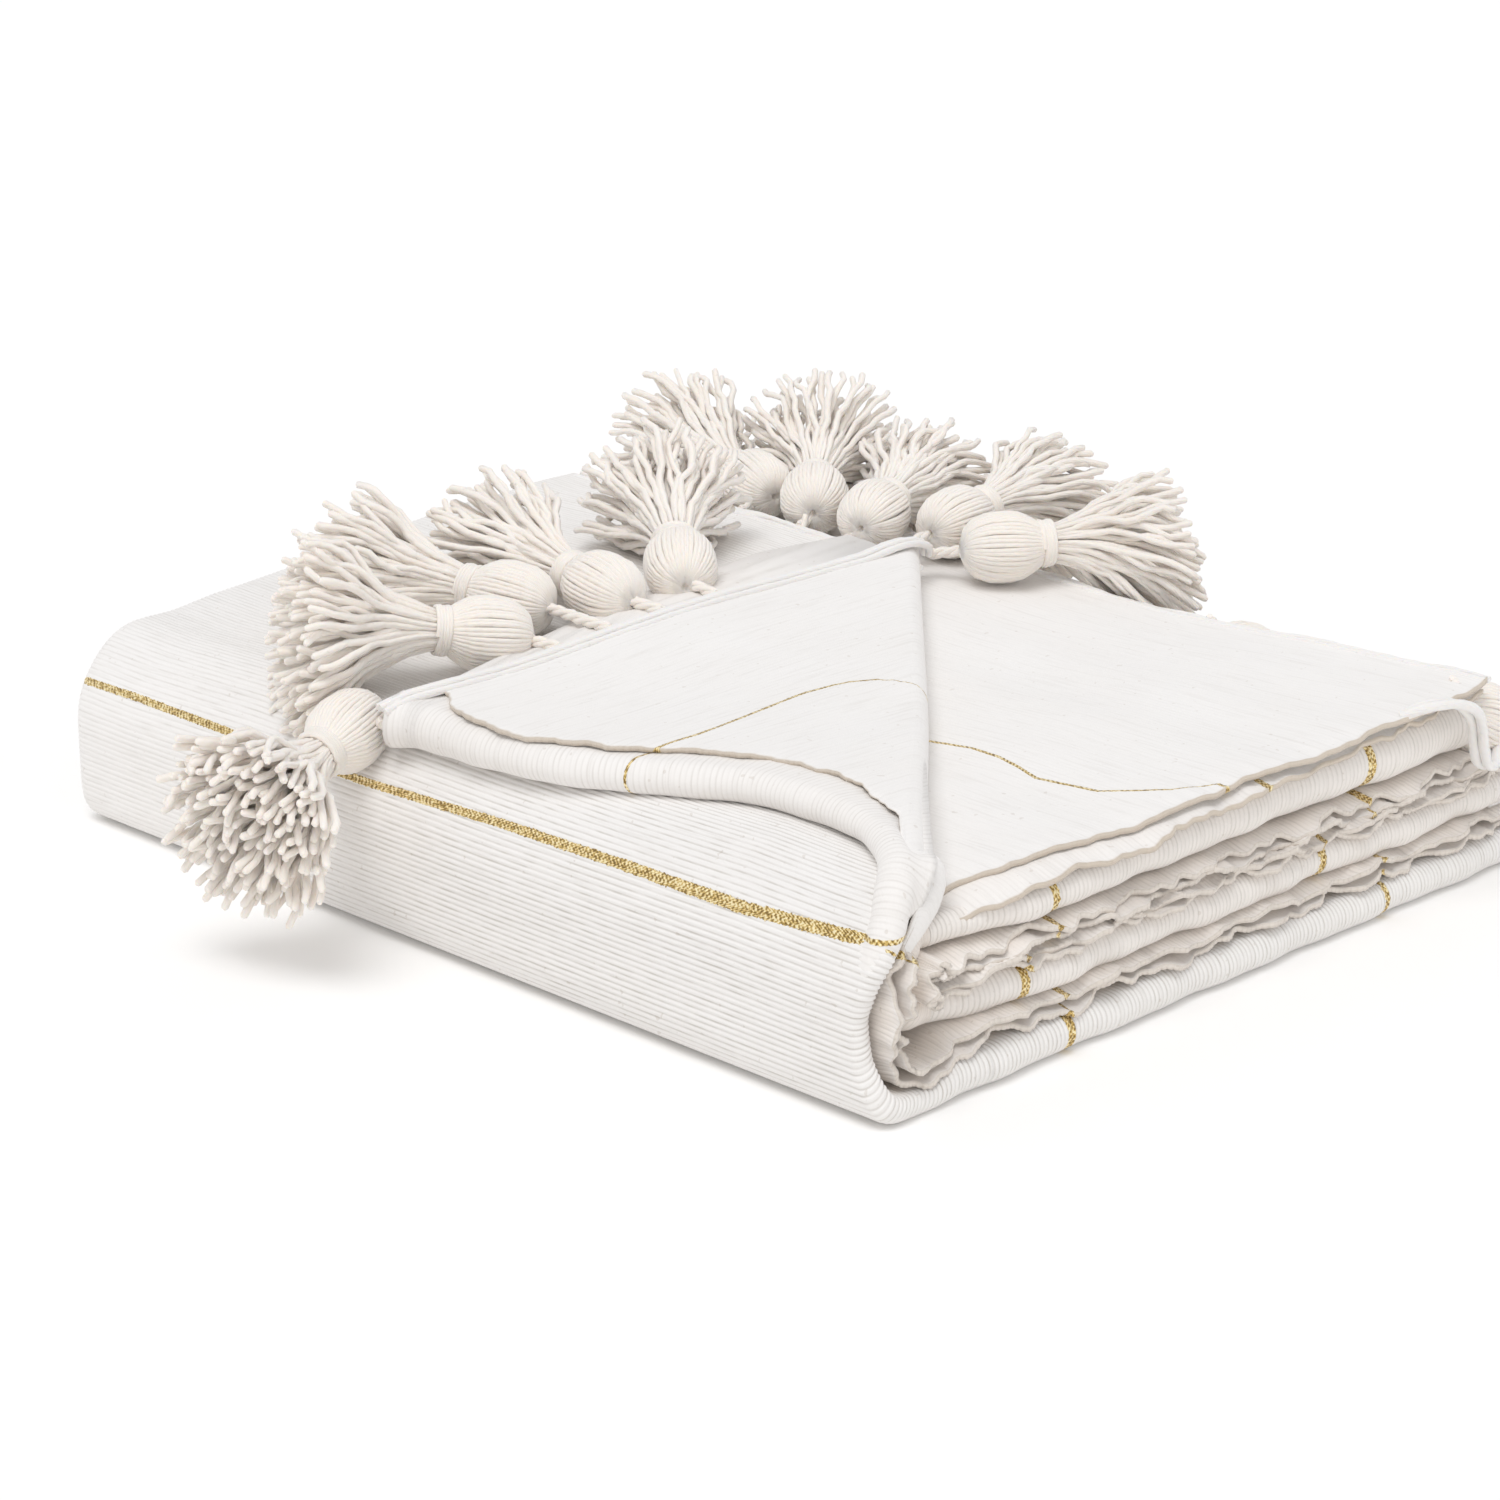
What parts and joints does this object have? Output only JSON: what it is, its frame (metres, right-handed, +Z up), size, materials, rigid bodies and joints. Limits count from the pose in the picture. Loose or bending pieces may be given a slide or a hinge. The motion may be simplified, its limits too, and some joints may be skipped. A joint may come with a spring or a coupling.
{
  "type": "tasselled cotton blanket, folded",
  "caption": "Ribbed cream cotton blanket with thin gold stripes and tasselled corded hems, folded flat with one corner turned back.",
  "frame": {"origin": "under the middle of the folded stack, on the plane it rests on", "axes": "+X along the folded length towards the open ends, +Y along the ribs and stripes away from the near fold, +Z up"},
  "size_m": [0.7081, 0.6479, 0.2027],
  "materials": {
    "ribbed_cotton": "matte woven ribs with thin gold stripes",
    "tassel_yarn": "matte cotton yarn"
  },
  "bodies": {
    "root": {"blanket_cloth": "ribbed_cotton", "tassel_corner": "tassel_yarn", "tassel_flap_1": "tassel_yarn", "tassel_flap_2": "tassel_yarn", "tassel_flap_3": "tassel_yarn", "tassel_flap_4": "tassel_yarn", "tassel_hem_1": "tassel_yarn", "tassel_hem_2": "tassel_yarn", "tassel_hem_3": "tassel_yarn", "tassel_hem_4": "tassel_yarn", "tassel_hem_5": "tassel_yarn", "tassel_end_1": "tassel_yarn", "tassel_end_2": "tassel_yarn", "tassel_end_3": "tassel_yarn", "tassel_end_4": "tassel_yarn"}
  },
  "joints": []
}
